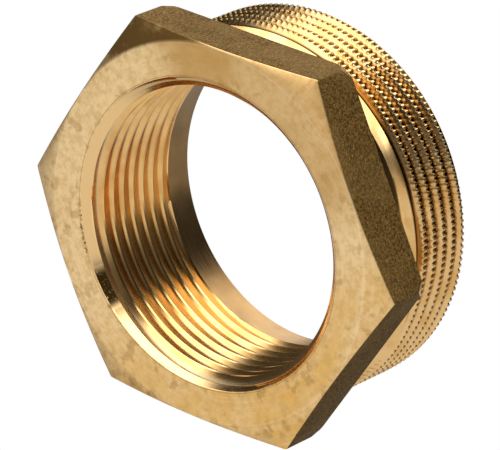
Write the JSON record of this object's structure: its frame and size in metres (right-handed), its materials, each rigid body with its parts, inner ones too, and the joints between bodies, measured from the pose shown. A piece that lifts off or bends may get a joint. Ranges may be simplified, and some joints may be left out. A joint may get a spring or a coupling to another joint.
{
  "type": "hex bushing",
  "caption": "Brass hexagon reducing bushing for pipe: parallel thread outside, smaller parallel thread inside, with a relief groove under the hexagon head.",
  "frame": {"origin": "centre of the threaded end face, on the turned axis", "axes": "+Z along the turned axis from the threaded end to the hexagon face, +X through a corner of the hexagon, Y across two of its flats"},
  "size_m": [0.0682, 0.0592, 0.0257],
  "materials": {
    "brass": "turned bright on the threads, matt drawn skin on the hexagon flats"
  },
  "bodies": {
    "root": {"hex_bushing": "brass"}
  },
  "joints": []
}
